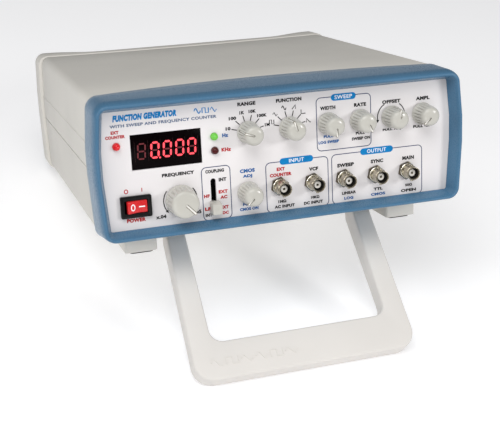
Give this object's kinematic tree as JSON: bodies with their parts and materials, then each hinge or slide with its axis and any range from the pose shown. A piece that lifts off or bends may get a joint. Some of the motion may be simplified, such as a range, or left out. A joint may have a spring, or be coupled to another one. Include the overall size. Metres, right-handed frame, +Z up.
{
  "type": "function generator",
  "caption": "Bench function generator in a plastic case, tilted back on a fold-out bail, with rotary knobs, coaxial jacks, a digit display and a rocker power switch.",
  "frame": {"origin": "on the bench, under the middle of the bounding box of the instrument standing on its open bail and rear feet", "axes": "+X to the right of someone facing the panel, +Y away from them towards the rear, +Z up"},
  "size_m": [0.269, 0.3584, 0.1819],
  "materials": {
    "case_plastic": "fine-textured grey-beige moulding",
    "blue_plastic": "satin steel blue",
    "panel_paint": "printed white foil over a plastic panel",
    "rear_panel": "satin",
    "pale_plastic": "smooth pale grey",
    "steel": "zinc plated",
    "shaft_metal": "turned",
    "control_can": "sealed control body",
    "rubber": "matt",
    "window": "dark red filter",
    "display": "seven-segment module",
    "red_lamp": "tinted lens, lit",
    "green_lamp": "tinted lens, lit",
    "dark_lamp": "tinted lens, unlit",
    "black_plastic": "satin black",
    "red_plastic": "glossy",
    "knob_plastic": "satin warm grey",
    "nickel": "nickel plated",
    "board": "glass-epoxy board",
    "core": "laminated core and winding"
  },
  "bodies": {
    "instrument": {"top_cover": "case_plastic", "bottom_cover": "case_plastic", "front_bezel": "blue_plastic", "front_panel": "panel_paint", "rear_bezel": "case_plastic", "rear_panel": "rear_panel", "bail_pin_left": "steel", "bail_pin_right": "steel", "foot_pad_front_left": "rubber", "foot_pad_front_right": "rubber", "foot_pad_rear_left": "rubber", "foot_pad_rear_right": "rubber", "case_screw_front_left": "steel", "case_screw_front_right": "steel", "case_screw_rear_left": "steel", "case_screw_rear_right": "steel", "display_window": "window", "display_module": "display", "external_led": "red_lamp", "hertz_led": "green_lamp", "kilohertz_led": "dark_lamp", "power_switch_body": "black_plastic", "coupling_switch_body": "black_plastic", "width_pot": "control_can", "rate_pot": "control_can", "offset_pot": "control_can", "amplitude_pot": "control_can", "level_pot": "control_can", "range_switch": "control_can", "function_switch": "control_can", "frequency_pot": "control_can", "counter_jack": "nickel", "vcf_jack": "nickel", "sweep_jack": "nickel", "sync_jack": "nickel", "main_jack": "nickel", "control_board": "board", "main_board": "board", "transformer": "core", "mains_inlet": "black_plastic"},
    "bail": {"bail_handle": "pale_plastic"},
    "power_rocker": {"power_rocker": "red_plastic"},
    "coupling_lever": {"coupling_lever": "knob_plastic"},
    "fuse_drawer": {"fuse_drawer": "black_plastic"},
    "width_shaft": {"width_shaft": "shaft_metal"},
    "width_knob": {"width_knob": "knob_plastic"},
    "rate_shaft": {"rate_shaft": "shaft_metal"},
    "rate_knob": {"rate_knob": "knob_plastic"},
    "offset_shaft": {"offset_shaft": "shaft_metal"},
    "offset_knob": {"offset_knob": "knob_plastic"},
    "amplitude_shaft": {"amplitude_shaft": "shaft_metal"},
    "amplitude_knob": {"amplitude_knob": "knob_plastic"},
    "level_shaft": {"level_shaft": "shaft_metal"},
    "level_knob": {"level_knob": "knob_plastic"},
    "range_control": {"range_knob": "knob_plastic", "range_shaft": "shaft_metal"},
    "function_control": {"function_knob": "knob_plastic", "function_shaft": "shaft_metal"},
    "frequency_control": {"frequency_knob": "knob_plastic", "frequency_shaft": "shaft_metal"}
  },
  "joints": [
    {"name": "bail_hinge", "type": "hinge", "parent": "instrument", "child": "bail", "pos_m": [0, -0.07067, 0.06622], "axis": [1, 0, 0], "range_deg": [0, 132.4]},
    {"name": "power_rocker_pivot", "type": "hinge", "parent": "instrument", "child": "power_rocker", "pos_m": [-0.1068, -0.10585, 0.11013], "axis": [0, 0.2842, 0.9588], "range_deg": [-18, 0]},
    {"name": "coupling_lever_slide", "type": "slide", "parent": "instrument", "child": "coupling_lever", "axis": [0, 0.2842, 0.9588], "range_m": [0, 0.015]},
    {"name": "fuse_drawer_slide", "type": "slide", "parent": "instrument", "child": "fuse_drawer", "axis": [0, 0.9588, -0.2842], "range_m": [0, 0.016]},
    {"name": "width_pull", "type": "slide", "parent": "instrument", "child": "width_shaft", "axis": [0, -0.9588, 0.2842], "range_m": [0, 0.0045]},
    {"name": "width_turn", "type": "hinge", "parent": "width_shaft", "child": "width_knob", "pos_m": [0.0334, -0.09481, 0.15087], "axis": [0, -0.9588, 0.2842], "range_deg": [0, 300]},
    {"name": "rate_pull", "type": "slide", "parent": "instrument", "child": "rate_shaft", "axis": [0, -0.9588, 0.2842], "range_m": [0, 0.0045]},
    {"name": "rate_turn", "type": "hinge", "parent": "rate_shaft", "child": "rate_knob", "pos_m": [0.0574, -0.09481, 0.15087], "axis": [0, -0.9588, 0.2842], "range_deg": [0, 300]},
    {"name": "offset_pull", "type": "slide", "parent": "instrument", "child": "offset_shaft", "axis": [0, -0.9588, 0.2842], "range_m": [0, 0.0045]},
    {"name": "offset_turn", "type": "hinge", "parent": "offset_shaft", "child": "offset_knob", "pos_m": [0.0817, -0.09481, 0.15087], "axis": [0, -0.9588, 0.2842], "range_deg": [-150, 150]},
    {"name": "amplitude_pull", "type": "slide", "parent": "instrument", "child": "amplitude_shaft", "axis": [0, -0.9588, 0.2842], "range_m": [0, 0.0045]},
    {"name": "amplitude_turn", "type": "hinge", "parent": "amplitude_shaft", "child": "amplitude_knob", "pos_m": [0.1055, -0.09481, 0.15087], "axis": [0, -0.9588, 0.2842], "range_deg": [-285, 15]},
    {"name": "level_pull", "type": "slide", "parent": "instrument", "child": "level_shaft", "axis": [0, -0.9588, 0.2842], "range_m": [0, 0.0045]},
    {"name": "level_turn", "type": "hinge", "parent": "level_shaft", "child": "level_knob", "pos_m": [-0.0274, -0.10683, 0.11031], "axis": [0, -0.9588, 0.2842], "range_deg": [-286, 14]},
    {"name": "range_turn", "type": "hinge", "parent": "instrument", "child": "range_control", "pos_m": [-0.0255, -0.09481, 0.15087], "axis": [0, -0.9588, 0.2842], "range_deg": [-150, 0]},
    {"name": "function_turn", "type": "hinge", "parent": "instrument", "child": "function_control", "pos_m": [0.0049, -0.09481, 0.15087], "axis": [0, -0.9588, 0.2842], "range_deg": [-90, 60]},
    {"name": "frequency_turn", "type": "hinge", "parent": "instrument", "child": "frequency_control", "pos_m": [-0.0756, -0.10669, 0.11079], "axis": [0, -0.9588, 0.2842], "range_deg": [-13, 287]}
  ]
}
